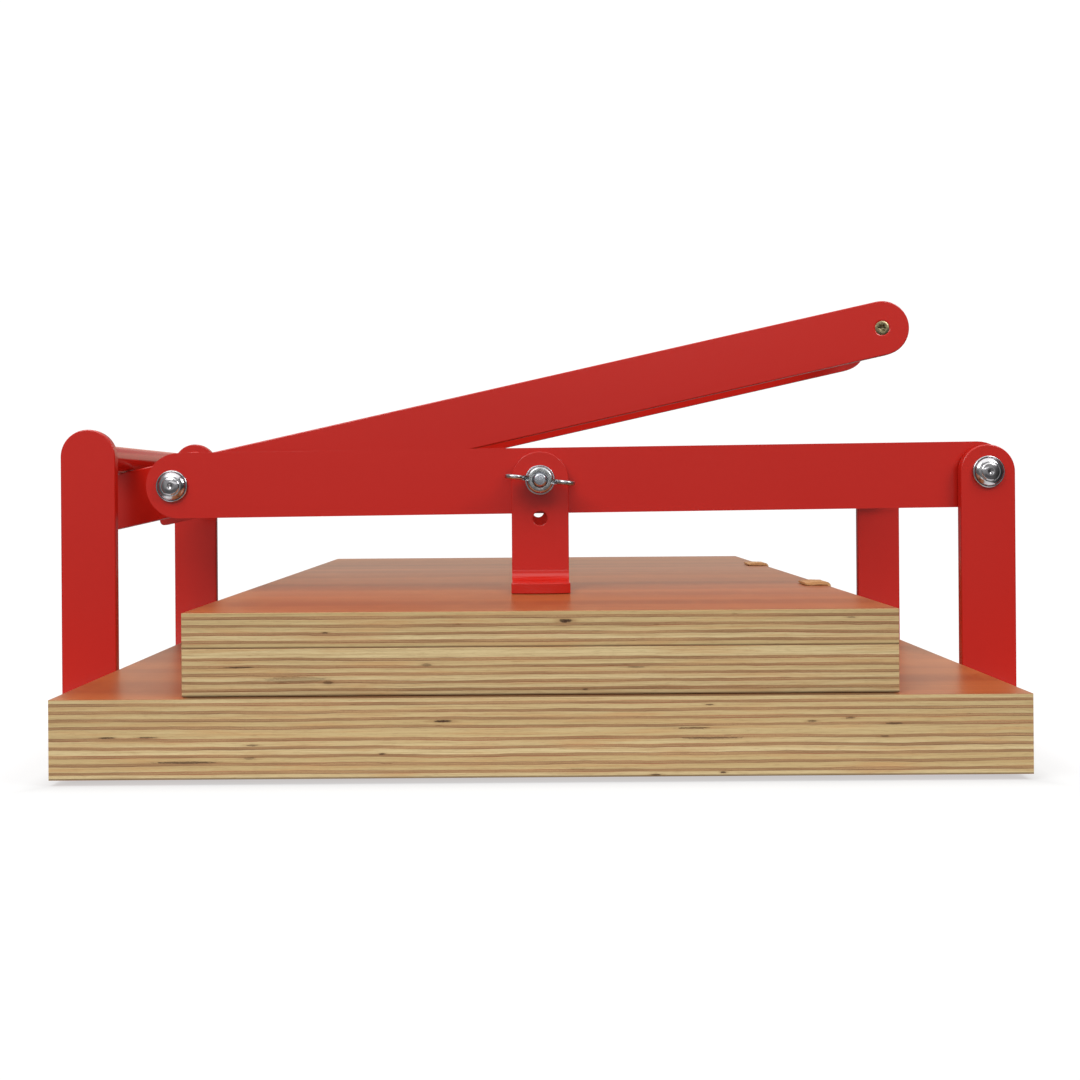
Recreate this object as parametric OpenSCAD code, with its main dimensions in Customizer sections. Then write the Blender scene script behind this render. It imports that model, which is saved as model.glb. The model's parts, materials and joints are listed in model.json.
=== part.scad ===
// Lever bookbinding press. A plywood base carries two plywood pressing boards that open like a
// book on leather hinges. A pair of steel arms, one in front and one behind, pivots on the right
// posts and presses the boards through two bent feet. A lever pinned to the arms bears up under
// a tube between the left posts and closes the arms.
// Millimetres. The origin is at floor level under the centre of the base; +X runs towards the
// pivot posts, +Y towards the back and +Z up.

/* [Base board] */
// Width of the base board, left to right
base_w = 490; // [420:5:500]
// Depth of the base board, front to back
base_d = 510; // [440:5:600]
// Thickness of the base board
base_t = 40; // [30:1:50]
// Height of the rubber feet
pad_h = 3; // [3:1:8]
// Diameter of the rubber feet
pad_d = 24; // [18:1:30]

/* [Pressing boards] */
// Width of the two pressing boards
board_w = 360; // [300:5:380]
// Depth of the two pressing boards
board_d = 500; // [400:5:520]
// Thickness of the lower pressing board
lower_t = 24; // [18:1:26]
// Thickness of the upper pressing board
upper_t = 18; // [12:1:20]

/* [Posts] */
// Width of each flat-bar post
post_w = 33; // [25:1:36]
// Thickness of each post
post_t = 6; // [5:1:8]
// Distance from the centre to the middle of a post, left to right
post_x = 272.2; // [268:0.2:280]
// Distance from the centre to the middle of a post, front to back
post_y = 119; // [105:1:130]
// Height of the pivot shaft's axis, between the right posts
pivot_z = 155.2; // [154:0.2:160]

/* [Arms] */
// Depth of the flat bar of each arm
arm_h = 40; // [34:1:44]
// Thickness of each arm
arm_t = 8; // [6:1:10]
// Distance from the centre to the lever pin, left to right
pin_x = 223.2; // [218:0.2:228]
// Height of the lever pin's axis
pin_z = 149.8; // [147:0.2:152]

/* [Lever] */
// Depth of the flat bar of each lever side
lever_w = 35.6; // [30:0.2:36]
// Thickness of each lever side
lever_t = 8; // [6:1:10]
// Distance between the middles of the two lever sides
lever_pitch = 107; // [90:1:160]
// Distance along the lever from its pin to the handle rod
lever_len = 461.5; // [380:0.5:500]
// Slope of the lever at rest, in degrees
lever_angle = 12.4; // [11:0.1:14]
// Diameter of the handle rod
rod_d = 16; // [12:1:20]

/* [Press feet] */
// Width of each bent foot
foot_w = 34.5; // [28:0.5:40]
// Thickness of each bent foot
foot_t = 6; // [4:1:8]
// Length of the foot's sole in front of its plate
sole_len = 30; // [20:1:40]
// Height of the foot bolt's axis
bolt_z = 152; // [150:0.5:154]
// Distance between the foot's two height holes
hole_step = 23.2; // [18:0.2:26]

/* [Shafts] */
// Diameter of the pivot shaft and of the lever pin
shaft_d = 10; // [8:1:12]
// Outer diameter of the fulcrum tube and of the spacer tubes
tube_d = 16; // [15:1:18]
// Diameter of the push-on dome caps
cap_d = 19.4; // [17:0.2:22]

/* [Hidden] */
$fn = 96;
eps = 0.01;            // overlap that keeps cuts clean
gap = 0.3;             // air between pieces that move past each other
run_gap = 0.05;        // radial clearance of a running fit
seat_gap = 0.1;        // diametral clearance of a screw or shaft in its seat

base_z = pad_h;
board_z = base_z + base_t + gap;
joint_z = board_z + lower_t;
board_top = joint_z + upper_t;

bar_t = 6;             // cross bars under the base
bar_w = 35;
bar_len = 2 * post_x + post_w;
bar_screw_x = 200;     // outer screws of a cross bar; a third sits at the middle
screw_d = 4.4;         // wood screws
screw_head_d = 9;
screw_head_h = 2.4;
screw_len = 24;
weld = 3.5;            // leg of the weld beads at the posts' feet

pad_x = base_w / 2 - 30;
pad_y = base_d / 2 - 30;
pad_screw_d = 3.5;
pad_screw_head_d = 7;
pad_screw_head_h = 1.6;
pad_screw_sink = 0.6;  // the head lies this far above the floor
pad_screw_len = 16;

arm_y = post_y - post_t / 2 - 1 - arm_t / 2;
arm_end_inset = 4;     // an arm's end arc is centred this far inside its hole
arm_left_z = pin_z + 0.3;
arm_right_z = pivot_z - 1.4;
arm_left_x = -pin_x + arm_end_inset;
arm_right_x = post_x - arm_end_inset;
arm_slope = atan2(arm_right_z - arm_left_z, arm_right_x - arm_left_x);

washer_d = 20;
washer_t = 1 - gap;
spacer_bore = shaft_d + 0.8;

lever_y = lever_pitch / 2;
lever_rise = 2;        // the bar's middle line passes this far above its pin hole
tail_len = 61;         // from the pin to the end of the tail
tail_corner_r = 3;
tie_d = 14;            // bar that ties the two tails, just behind the fulcrum tube
tie_back = 55.9;       // from the pin to the tie bar's axis, along the lever
tie_rise = 17.1;       // and across it
rest_gap = 0.4;        // air between the tail's top edge and the fulcrum tube at rest

// Height of the fulcrum tube's axis, between the left posts
fulcrum_z = pin_z + (lever_rise + lever_w / 2 + rest_gap + tube_d / 2
                     - (post_x - pin_x) * sin(lever_angle)) / cos(lever_angle);

cap_rim_h = 2.2;
cap_h = 6;
cap_seat = 3.2;        // how far a shaft end reaches into its cap

head_d = 9.4;          // countersunk handle screws
head_h = 2.5;
handle_screw_d = 5;
handle_screw_len = 24;
socket_af = 3.2;
socket_depth = 2;

bolt_x = 1.2;          // the foot bolts sit a little to the right of the middle
bolt_d = 8;
bolt_hole_d = 8.6;
height_hole_d = 8.8;
bolt_head_af = 13;
bolt_head_h = 5.3;
bolt_washer_d = 18;
bolt_washer_t = 1.4;
foot_bend_r = 6.5;     // inner radius of the foot's bend
foot_z = board_top + gap;
sole_arc_r = 75;       // the sole's front edge is slightly rounded in plan
nut_hub_d = 16;
nut_face_d = 12.4;
nut_h = 9;
wing_t = 2.6;
wing_r = 6;
wing_x = 15.1;
wing_out = 10;
wing_turn = 6;         // how far the wings rest from level, in degrees

strap_w = 21;
strap_t = 2.6;
strap_top = 13.5;      // leather on top of the upper board
strap_drop = 32;       // leather down the boards' right side
strap_front_y = -88;   // middle of each strap, front to back
strap_rear_y = 116;
strap_edge_r = 2.2;    // outer rounding where the leather bends over the edge

red = [0.78, 0.16, 0.13];
plywood = [0.80, 0.68, 0.50];
steel = [0.72, 0.72, 0.74];
leather_tan = [0.78, 0.60, 0.38];
rubber_black = [0.10, 0.10, 0.10];

// ---- helpers ----

// Turns a flat outline drawn in X and Z into a plate of thickness t, centred on depth y
module upright_plate(y, t) {
    translate([0, y + t / 2, 0]) rotate([90, 0, 0]) linear_extrude(height = t) children();
}

// Turns a piece drawn along +Z from a wall at z = 0 so that it stands out of a face towards
// the front (side = -1) or the back (side = 1)
module out_of_face(side, pos) {
    translate(pos) rotate([-90 * side, 0, 0]) children();
}

// Round bar or hole along Y, from depth y0 to y1
module rod_y(x, z, d, y0, y1) {
    translate([x, y1, z]) rotate([90, 0, 0]) cylinder(d = d, h = y1 - y0);
}

// Tube along Y
module tube_y(x, z, d, bore, y0, y1) {
    difference() {
        rod_y(x, z, d, y0, y1);
        rod_y(x, z, bore, y0 - 1, y1 + 1);
    }
}

// Outline of a flat bar with a round end at each of two centres on a level line
module round_bar(x0, x1, w) {
    translate([x0, -w / 2]) square([x1 - x0, w]);
    for (x = [x0, x1]) translate([x, 0]) circle(d = w);
}

// Countersunk wood screw pointing up, head face at z = 0
module wood_screw(d, head, head_height, len) {
    cylinder(d1 = head, d2 = d, h = head_height);
    cylinder(d = d, h = len);
}

// ---- base and frame ----

module base_board() {
    color(plywood) difference() {
        translate([-base_w / 2, -base_d / 2, base_z]) cube([base_w, base_d, base_t]);
        for (side = [-1, 1]) {
            translate([-base_w / 2 - 1, side * post_y - bar_w / 2 - gap, base_z - 1])
                cube([base_w + 2, bar_w + 2 * gap, bar_t + gap + 1]);
            for (i = [-1, 0, 1]) translate([i * bar_screw_x, side * post_y, base_z])
                cylinder(d = screw_d + seat_gap, h = screw_len + 1);
        }
        for (sx = [-1, 1], sy = [-1, 1]) translate([sx * pad_x, sy * pad_y, base_z - 1])
            cylinder(d = pad_screw_d + seat_gap, h = pad_screw_len);
    }
}

module rubber_foot(sx, sy) {
    color(rubber_black) translate([sx * pad_x, sy * pad_y, 0]) difference() {
        cylinder(d1 = pad_d - 2, d2 = pad_d, h = pad_h);
        translate([0, 0, -1]) cylinder(d = pad_screw_head_d + 0.6, h = pad_screw_sink + 1);
        translate([0, 0, pad_screw_sink - eps])
            cylinder(d1 = pad_screw_head_d + 0.4, d2 = pad_screw_d + 0.4, h = pad_screw_head_h + eps);
        translate([0, 0, -1]) cylinder(d = pad_screw_d + 0.4, h = pad_h + 2);
    }
}

module rubber_foot_front_left() { rubber_foot(-1, -1); }
module rubber_foot_front_right() { rubber_foot(1, -1); }
module rubber_foot_rear_left() { rubber_foot(-1, 1); }
module rubber_foot_rear_right() { rubber_foot(1, 1); }

module rubber_foot_screws() {
    color(steel) for (sx = [-1, 1], sy = [-1, 1])
        translate([sx * pad_x, sy * pad_y, pad_screw_sink])
            wood_screw(pad_screw_d, pad_screw_head_d, pad_screw_head_h, pad_screw_len);
}

// Flat bar let into the underside of the base, which carries a post at each end
module cross_bar(side) {
    color(red) difference() {
        translate([-bar_len / 2, side * post_y - bar_w / 2, base_z]) cube([bar_len, bar_w, bar_t]);
        for (i = [-1, 0, 1]) translate([i * bar_screw_x, side * post_y, base_z]) {
            translate([0, 0, -eps])
                cylinder(d1 = screw_head_d + 0.4, d2 = screw_d + 0.4, h = screw_head_h + eps);
            cylinder(d = screw_d + 0.4, h = bar_t + 1);
        }
    }
}

module cross_bar_front() { cross_bar(-1); }
module cross_bar_rear() { cross_bar(1); }

module cross_bar_screws() {
    color(steel) for (side = [-1, 1], i = [-1, 0, 1])
        translate([i * bar_screw_x, side * post_y, base_z])
            wood_screw(screw_d, screw_head_d, screw_head_h, screw_len);
}

// Post of flat bar with a round top, standing on the end of a cross bar
module post(sx, sy, top_z) {
    color(red) difference() {
        upright_plate(sy * post_y, post_t) {
            translate([sx * post_x - post_w / 2, base_z + bar_t])
                square([post_w, top_z - base_z - bar_t]);
            translate([sx * post_x, top_z]) circle(d = post_w);
        }
        if (sx > 0)
            rod_y(post_x, pivot_z, shaft_d + seat_gap, sy * post_y - post_t, sy * post_y + post_t);
    }
}

module post_front_left() { post(-1, -1, fulcrum_z); }
module post_front_right() { post(1, -1, pivot_z); }
module post_rear_left() { post(-1, 1, fulcrum_z); }
module post_rear_right() { post(1, 1, pivot_z); }

// Beads in the corners between each post and its cross bar
module post_welds() {
    color(red) for (sx = [-1, 1], sy = [-1, 1], face = [-1, 1])
        translate([sx * post_x, sy * post_y + face * post_t / 2, base_z + bar_t])
            rotate([90, 0, face * 90]) linear_extrude(height = post_w - 4, center = true)
                polygon([[0, 0], [weld, 0], [0, weld]]);
}

module fulcrum_tube() {
    color(red) tube_y(-post_x, fulcrum_z, tube_d, 12, -post_y + post_t / 2, post_y - post_t / 2);
}

module pivot_shaft() {
    half = post_y + post_t / 2 + cap_seat;
    color(steel) rod_y(post_x, pivot_z, shaft_d, -half, half);
}

// Push-on cap: a rim, a low dome with a ring groove, and a dimple at the crown
module dome_cap() {
    crown_r = cap_d / 2 - 1.4;
    dome_r = (crown_r * crown_r + (cap_h - cap_rim_h) * (cap_h - cap_rim_h)) / 2 / (cap_h - cap_rim_h);
    color(steel) rotate_extrude() difference() {
        union() {
            square([cap_d / 2, cap_rim_h]);
            intersection() {
                translate([0, cap_h - dome_r]) circle(r = dome_r);
                square([crown_r, cap_h]);
            }
        }
        translate([-1, -1]) square([shaft_d / 2 + seat_gap / 2 + 1, cap_seat + seat_gap + 1]);
        translate([crown_r * 0.62, cap_h - 0.55]) circle(r = 0.5);
        translate([0, cap_h + 1.2]) circle(r = 2);
    }
}

module pivot_cap_front() { out_of_face(-1, [post_x, -post_y - post_t / 2, pivot_z]) dome_cap(); }
module pivot_cap_rear() { out_of_face(1, [post_x, post_y + post_t / 2, pivot_z]) dome_cap(); }

// Washers between the right posts and the arms
module pivot_washers() {
    color(steel) for (side = [-1, 1])
        out_of_face(-side, [post_x, side * (post_y - post_t / 2), pivot_z]) difference() {
            cylinder(d = washer_d, h = washer_t);
            translate([0, 0, -1]) cylinder(d = shaft_d + seat_gap, h = washer_t + 2);
        }
}

// ---- arms ----

module arm(side) {
    color(red) difference() {
        translate([arm_left_x, 0, arm_left_z]) rotate([0, -arm_slope, 0])
            upright_plate(side * arm_y, arm_t)
                round_bar(0, norm([arm_right_x - arm_left_x, arm_right_z - arm_left_z]), arm_h);
        rod_y(-pin_x, pin_z, shaft_d + seat_gap, side * arm_y - arm_t, side * arm_y + arm_t);
        rod_y(post_x, pivot_z, shaft_d + 2 * run_gap, side * arm_y - arm_t, side * arm_y + arm_t);
        rod_y(bolt_x, bolt_z, bolt_hole_d, side * arm_y - arm_t, side * arm_y + arm_t);
    }
}

module arm_front() { arm(-1); }
module arm_rear() { arm(1); }

module arm_spacer_tube() {
    half = arm_y - arm_t / 2;
    color(red) tube_y(post_x, pivot_z, tube_d, spacer_bore, -half, half);
}

module lever_pin() {
    half = arm_y + arm_t / 2 + cap_seat;
    color(steel) rod_y(-pin_x, pin_z, shaft_d, -half, half);
}

module lever_pin_cap_front() { out_of_face(-1, [-pin_x, -arm_y - arm_t / 2, pin_z]) dome_cap(); }
module lever_pin_cap_rear() { out_of_face(1, [-pin_x, arm_y + arm_t / 2, pin_z]) dome_cap(); }

// Tube that keeps a lever side away from its arm
module pin_spacer(side) {
    from = lever_y + lever_t / 2 + gap;
    to = arm_y - arm_t / 2;
    color(red) out_of_face(side, [-pin_x, side * from, pin_z]) difference() {
        cylinder(d = tube_d, h = to - from);
        translate([0, 0, -1]) cylinder(d = shaft_d + seat_gap, h = to - from + 2);
    }
}

module pin_spacer_front() { pin_spacer(-1); }
module pin_spacer_rear() { pin_spacer(1); }

// ---- press feet ----

// Side outline of the bent foot, drawn for the front: the plate's back lies at y = 0 and the
// sole runs towards -Y from a bend; heights are true heights
module foot_outline() {
    outer_r = foot_bend_r + foot_t;
    translate([-foot_t, foot_z + outer_r]) square([foot_t, bolt_z - foot_z - outer_r]);
    translate([-foot_t - sole_len, foot_z]) square([sole_len - foot_bend_r, foot_t]);
    intersection() {
        translate([-outer_r, foot_z + outer_r]) difference() {
            circle(r = outer_r);
            circle(r = foot_bend_r);
        }
        translate([-outer_r, foot_z]) square([outer_r, outer_r]);
    }
}

module press_foot(side) {
    back_y = -arm_y - arm_t / 2;
    tip_y = back_y - foot_t - sole_len;
    color(red) mirror([0, side > 0 ? 1 : 0, 0]) difference() {
        intersection() {
            union() {
                translate([bolt_x - foot_w / 2, back_y, 0]) rotate([90, 0, 90])
                    linear_extrude(height = foot_w) foot_outline();
                rod_y(bolt_x, bolt_z, foot_w, back_y - foot_t, back_y);
            }
            translate([bolt_x, tip_y + sole_arc_r, 0]) cylinder(r = sole_arc_r, h = 2 * bolt_z);
        }
        rod_y(bolt_x, bolt_z, bolt_hole_d, back_y - foot_t - 1, back_y + 1);
        rod_y(bolt_x, bolt_z - hole_step, height_hole_d, back_y - foot_t - 1, back_y + 1);
    }
}

module press_foot_front() { press_foot(-1); }
module press_foot_rear() { press_foot(1); }

// Hexagon bolt from inside the arm, out through arm, foot, washer and wing nut
module foot_bolt(side) {
    inner_y = arm_y - arm_t / 2;
    reach = arm_t + foot_t + bolt_washer_t + gap + nut_h + 3;
    color(steel) out_of_face(side, [bolt_x, side * inner_y, bolt_z]) {
        translate([0, 0, -bolt_head_h]) cylinder(d = bolt_head_af / cos(30), h = bolt_head_h, $fn = 6);
        cylinder(d = bolt_d, h = reach - 0.8);
        translate([0, 0, reach - 0.8]) cylinder(d1 = bolt_d, d2 = bolt_d - 1.6, h = 0.8);
    }
}

module foot_bolt_front() { foot_bolt(-1); }
module foot_bolt_rear() { foot_bolt(1); }

module foot_washer(side) {
    color(steel) out_of_face(side, [bolt_x, side * (arm_y + arm_t / 2 + foot_t), bolt_z]) difference() {
        cylinder(d = bolt_washer_d, h = bolt_washer_t);
        translate([0, 0, -1]) cylinder(d = bolt_d + 0.6, h = bolt_washer_t + 2);
    }
}

module foot_washer_front() { foot_washer(-1); }
module foot_washer_rear() { foot_washer(1); }

// Wing nut: a tapered hub with two flat wings that rise away from the washer
module wing_nut(side) {
    seat_y = arm_y + arm_t / 2 + foot_t + bolt_washer_t + gap;
    color(steel) out_of_face(side, [bolt_x, side * seat_y, bolt_z]) rotate([0, 0, side * wing_turn])
        difference() {
            union() {
                cylinder(d1 = nut_hub_d, d2 = nut_face_d, h = nut_h);
                for (turn = [0, 180]) rotate([90, 0, turn])
                    translate([0, 0, -wing_t / 2]) linear_extrude(height = wing_t) {
                        translate([wing_x, wing_out]) circle(r = wing_r);
                        polygon([[4, 1], [7, 1], [wing_x + wing_r * 0.8, wing_out - wing_r * 0.6],
                                 [wing_x - wing_r * 0.3, wing_out + wing_r * 0.9], [5, nut_h - 0.5],
                                 [4, nut_h - 0.5]]);
                    }
            }
            translate([0, 0, -1]) cylinder(d = bolt_d + 2 * run_gap, h = nut_h + 20);
        }
}

module wing_nut_front() { wing_nut(-1); }
module wing_nut_rear() { wing_nut(1); }

// ---- lever ----

// Places a piece drawn along the lever: its pin at the origin, the handle towards +X
module along_lever() {
    translate([-pin_x, 0, pin_z]) rotate([0, -lever_angle, 0]) children();
}

// Outline of a lever side along a level line: an almost square tail, a round end at the handle
module lever_outline() {
    translate([tail_corner_r - tail_len, -lever_w / 2])
        square([tail_len - tail_corner_r + lever_len, lever_w]);
    translate([lever_len, 0]) circle(d = lever_w);
    hull() for (edge = [-1, 1])
        translate([tail_corner_r - tail_len, edge * (lever_w / 2 - tail_corner_r)])
            circle(r = tail_corner_r);
}

module lever_side(side) {
    outer_y = side * (lever_y + lever_t / 2);
    color(red) along_lever() difference() {
        upright_plate(side * lever_y, lever_t)
            translate([0, lever_rise]) lever_outline();
        rod_y(0, 0, shaft_d + 2 * run_gap, side * lever_y - lever_t, side * lever_y + lever_t);
        rod_y(lever_len, lever_rise, handle_screw_d + 0.4,
              side * lever_y - lever_t, side * lever_y + lever_t);
        out_of_face(side, [lever_len, outer_y - side * (head_h + 0.2), lever_rise])
            cylinder(d1 = handle_screw_d + 0.4, d2 = head_d + 0.4, h = head_h + 0.2 + eps);
    }
}

module lever_side_front() { lever_side(-1); }
module lever_side_rear() { lever_side(1); }

module lever_spacer_tube() {
    half = lever_y - lever_t / 2;
    color(red) along_lever() tube_y(0, 0, tube_d, spacer_bore, -half, half);
}

module tail_tie_bar() {
    half = lever_y - lever_t / 2;
    color(red) along_lever() rod_y(-tie_back, tie_rise, tie_d, -half, half);
}

module handle_rod() {
    half = lever_y - lever_t / 2;
    hole_len = handle_screw_len - lever_t + 1;
    color(red) along_lever() difference() {
        rod_y(lever_len, lever_rise, rod_d, -half, half);
        for (side = [-1, 1]) out_of_face(side, [lever_len, side * (half - hole_len), lever_rise])
            cylinder(d = handle_screw_d + seat_gap, h = hole_len + 1);
    }
}

module handle_screw(side) {
    color(steel) along_lever()
        out_of_face(side, [lever_len, side * (lever_y + lever_t / 2 - 0.1), lever_rise])
            mirror([0, 0, 1]) difference() {
                wood_screw(handle_screw_d, head_d, head_h, handle_screw_len);
                translate([0, 0, -eps])
                    cylinder(d = socket_af / cos(30), h = socket_depth, $fn = 6);
            }
}

module handle_screw_front() { handle_screw(-1); }
module handle_screw_rear() { handle_screw(1); }

// ---- pressing boards ----

module board(z, t) {
    color(plywood) translate([-board_w / 2, -board_d / 2, z]) cube([board_w, board_d, t]);
}

module lower_board() { board(board_z, lower_t); }
module upper_board() { board(joint_z, upper_t); }

// Leather strap glued over the boards' right edge, so that the upper board opens like a cover
module hinge_strap(middle_y) {
    color(leather_tan) translate([board_w / 2, middle_y + strap_w / 2, board_top])
        rotate([90, 0, 0]) linear_extrude(height = strap_w) {
            translate([-strap_top, 0]) square([strap_top, strap_t]);
            translate([0, -strap_drop]) square([strap_t, strap_drop]);
            intersection() {
                translate([strap_t - strap_edge_r, strap_t - strap_edge_r]) circle(r = strap_edge_r);
                square([strap_t, strap_t]);
            }
            square([strap_t, strap_t - strap_edge_r + eps]);
            square([strap_t - strap_edge_r + eps, strap_t]);
        }
}

module hinge_strap_front() { hinge_strap(strap_front_y); }
module hinge_strap_rear() { hinge_strap(strap_rear_y); }

base_board();
rubber_foot_front_left();
rubber_foot_front_right();
rubber_foot_rear_left();
rubber_foot_rear_right();
rubber_foot_screws();
cross_bar_front();
cross_bar_rear();
cross_bar_screws();
post_welds();
post_front_left();
post_front_right();
post_rear_left();
post_rear_right();
fulcrum_tube();
pivot_shaft();
pivot_cap_front();
pivot_cap_rear();
pivot_washers();
arm_front();
arm_rear();
arm_spacer_tube();
lever_pin();
lever_pin_cap_front();
lever_pin_cap_rear();
pin_spacer_front();
pin_spacer_rear();
press_foot_front();
press_foot_rear();
foot_bolt_front();
foot_bolt_rear();
foot_washer_front();
foot_washer_rear();
wing_nut_front();
wing_nut_rear();
lever_side_front();
lever_side_rear();
lever_spacer_tube();
tail_tie_bar();
handle_rod();
handle_screw_front();
handle_screw_rear();
lower_board();
upper_board();
hinge_strap_front();
hinge_strap_rear();
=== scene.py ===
"""Looks of the bookbinding press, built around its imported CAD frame. Lengths are in millimetres
up to the point where a mesh is made, and the frame itself is in metres."""
import json
import math

import bmesh
import bpy
from mathutils import Matrix, Vector


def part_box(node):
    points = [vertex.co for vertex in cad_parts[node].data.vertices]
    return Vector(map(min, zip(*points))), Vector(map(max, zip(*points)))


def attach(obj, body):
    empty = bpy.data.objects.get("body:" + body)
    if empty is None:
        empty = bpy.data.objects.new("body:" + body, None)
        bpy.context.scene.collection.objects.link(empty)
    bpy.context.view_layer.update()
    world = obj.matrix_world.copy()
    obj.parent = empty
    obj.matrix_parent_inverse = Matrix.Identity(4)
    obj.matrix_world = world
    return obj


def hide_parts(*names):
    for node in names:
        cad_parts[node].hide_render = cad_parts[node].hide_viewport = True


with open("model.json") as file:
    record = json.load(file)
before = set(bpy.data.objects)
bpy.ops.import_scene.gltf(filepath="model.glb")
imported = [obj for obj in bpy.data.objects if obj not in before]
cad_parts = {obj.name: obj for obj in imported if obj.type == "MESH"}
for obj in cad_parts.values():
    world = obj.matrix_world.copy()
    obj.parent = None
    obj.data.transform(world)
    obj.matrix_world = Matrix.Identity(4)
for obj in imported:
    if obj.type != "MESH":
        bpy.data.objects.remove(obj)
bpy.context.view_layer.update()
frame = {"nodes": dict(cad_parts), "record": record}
nodes = frame["nodes"]
MM = 0.001
ROUND = 2 * math.pi
ENDS = (("front", -1), ("rear", 1))   # the second number is the way that faces out along Y


# ---- camera, floor and studio light ----

def add_camera():
    """An almost level camera in front of the press, its picture shifted down from the horizon."""
    base_low, base_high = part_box("base_board")
    camera = bpy.data.objects.new("camera", bpy.data.cameras.new("camera"))
    bpy.context.scene.collection.objects.link(camera)
    distance = 616 * MM
    eye_above_base = 102.4 * MM
    camera.location = (-3.5 * MM, base_low.y - distance, base_high.z + eye_above_base)
    camera.rotation_euler = (math.radians(90), math.radians(0.4), 0)
    camera.data.sensor_width = 36
    camera.data.lens = 41.3
    camera.data.shift_x = 0.0072
    camera.data.shift_y = -0.0454
    camera.data.clip_start = 0.01
    bpy.context.scene.camera = camera


def add_floor():
    """A round white table top under the press. It glows, less under and close to the base, so that
    the press stands in a soft pale shadow on pure white."""
    bpy.ops.mesh.primitive_circle_add(vertices=96, radius=0.42, fill_type="NGON")
    floor = bpy.context.object
    floor.name = "floor"
    graph = Graph("floor_white")
    _, base_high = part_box("base_board")
    x, y = graph.split(graph.vector("ABSOLUTE", graph.place()))[:2]
    beyond = graph.math("MAXIMUM", graph.math("SUBTRACT", x, base_high.x / MM),
                        graph.math("SUBTRACT", y, base_high.y / MM))
    near_glow = graph.ramp(beyond, -14, 18, 0.53, 0.74)
    glow = graph.math("ADD", near_glow, graph.ramp(beyond, 20, 80, 0, 0.14))
    graph.set(Base_Color=(0.2, 0.2, 0.2, 1), Roughness=0.9, Specular_IOR_Level=0.0,
              Emission_Color=graph.mix(glow, (0, 0, 0, 1), (1, 1, 1, 1)), Emission_Strength=1.0)
    floor.data.materials.append(graph.material)


class Graph:
    """Short calls that build one node tree."""

    def __init__(self, name, tree=None):
        if tree is None:
            self.material = bpy.data.materials.new(name)
            self.material.use_nodes = True
            tree = self.material.node_tree
            self.shader = tree.nodes["Principled BSDF"]
        self.tree = tree

    def feed(self, socket, value):
        """Links a node's output to a socket, or sets the socket to a plain value."""
        if isinstance(value, bpy.types.NodeSocket):
            self.tree.links.new(value, socket)
        else:
            socket.default_value = value

    def add(self, kind, inputs, **settings):
        """A new shader node of a kind, with its inputs fed and its settings made."""
        made = self.tree.nodes.new("ShaderNode" + kind)
        for key, value in settings.items():
            setattr(made, key, value)
        for key, value in inputs.items():
            self.feed(made.inputs[key], value)
        return made

    def set(self, **inputs):
        """Feeds the shader: underscores in a name stand for spaces."""
        for key, value in inputs.items():
            self.feed(self.shader.inputs[key.replace("_", " ")], value)

    def math(self, operation, a, b=0.0, c=0.0):
        """A sum on up to three numbers."""
        return self.add("Math", {0: a, 1: b, 2: c}, operation=operation).outputs[0]

    def vector(self, operation, a, b=(0, 0, 0)):
        """A sum on two vectors."""
        made = self.add("VectorMath", {0: a, 1: b}, operation=operation)
        return made.outputs["Value" if operation == "DOT_PRODUCT" else "Vector"]

    def place(self):
        """The point on the piece at rest, in millimetres."""
        found = self.tree.nodes.new("ShaderNodeTexCoord").outputs["Object"]
        return self.vector("MULTIPLY", found, (1 / MM, 1 / MM, 1 / MM))

    def normal(self):
        """The surface normal in the piece's own frame."""
        return self.tree.nodes.new("ShaderNodeTexCoord").outputs["Normal"]

    def split(self, vector):
        """The x, y and z of a vector."""
        return self.add("SeparateXYZ", {0: vector}).outputs

    def join(self, x, y, z):
        """A vector from its x, y and z."""
        return self.add("CombineXYZ", {0: x, 1: y, 2: z}).outputs[0]

    def noise(self, vector, size, detail, roughness=0.5):
        """Noise from 0 to 1 whose features are about size millimetres along each axis."""
        scaled = self.vector("DIVIDE", vector, size)
        return self.add("TexNoise", {"Vector": scaled, "Scale": 1.0, "Detail": detail,
                                     "Roughness": roughness}).outputs[0]

    def ramp(self, value, low, high, start=0.0, end=1.0):
        """start below low, end above high, and a smooth step between them."""
        return self.add("MapRange", {"Value": value, "From Min": low, "From Max": high,
                                     "To Min": start, "To Max": end},
                        interpolation_type="SMOOTHSTEP").outputs[0]

    def gap(self, a, b):
        """How far a number is from another."""
        return self.math("ABSOLUTE", self.math("SUBTRACT", a, b))

    def mix(self, factor, a, b):
        """Mixes two colours."""
        return self.add("Mix", {0: factor, 6: a, 7: b}, data_type="RGBA").outputs[2]

    def between(self, factor, a, b):
        """Mixes two numbers."""
        return self.add("Mix", {0: factor, 2: a, 3: b}, data_type="FLOAT").outputs[0]

    def bump(self, height):
        """A surface normal from a height in millimetres."""
        return self.add("Bump", {"Height": height, "Distance": MM, "Strength": 1.0}).outputs[0]


def srgb(red, green, blue):
    """A colour given as 0 to 255 on screen, turned into the linear values that nodes take."""
    def linear(value):
        value /= 255
        return value / 12.92 if value <= 0.04045 else ((value + 0.055) / 1.055) ** 2.4
    return (linear(red), linear(green), linear(blue), 1)


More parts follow.
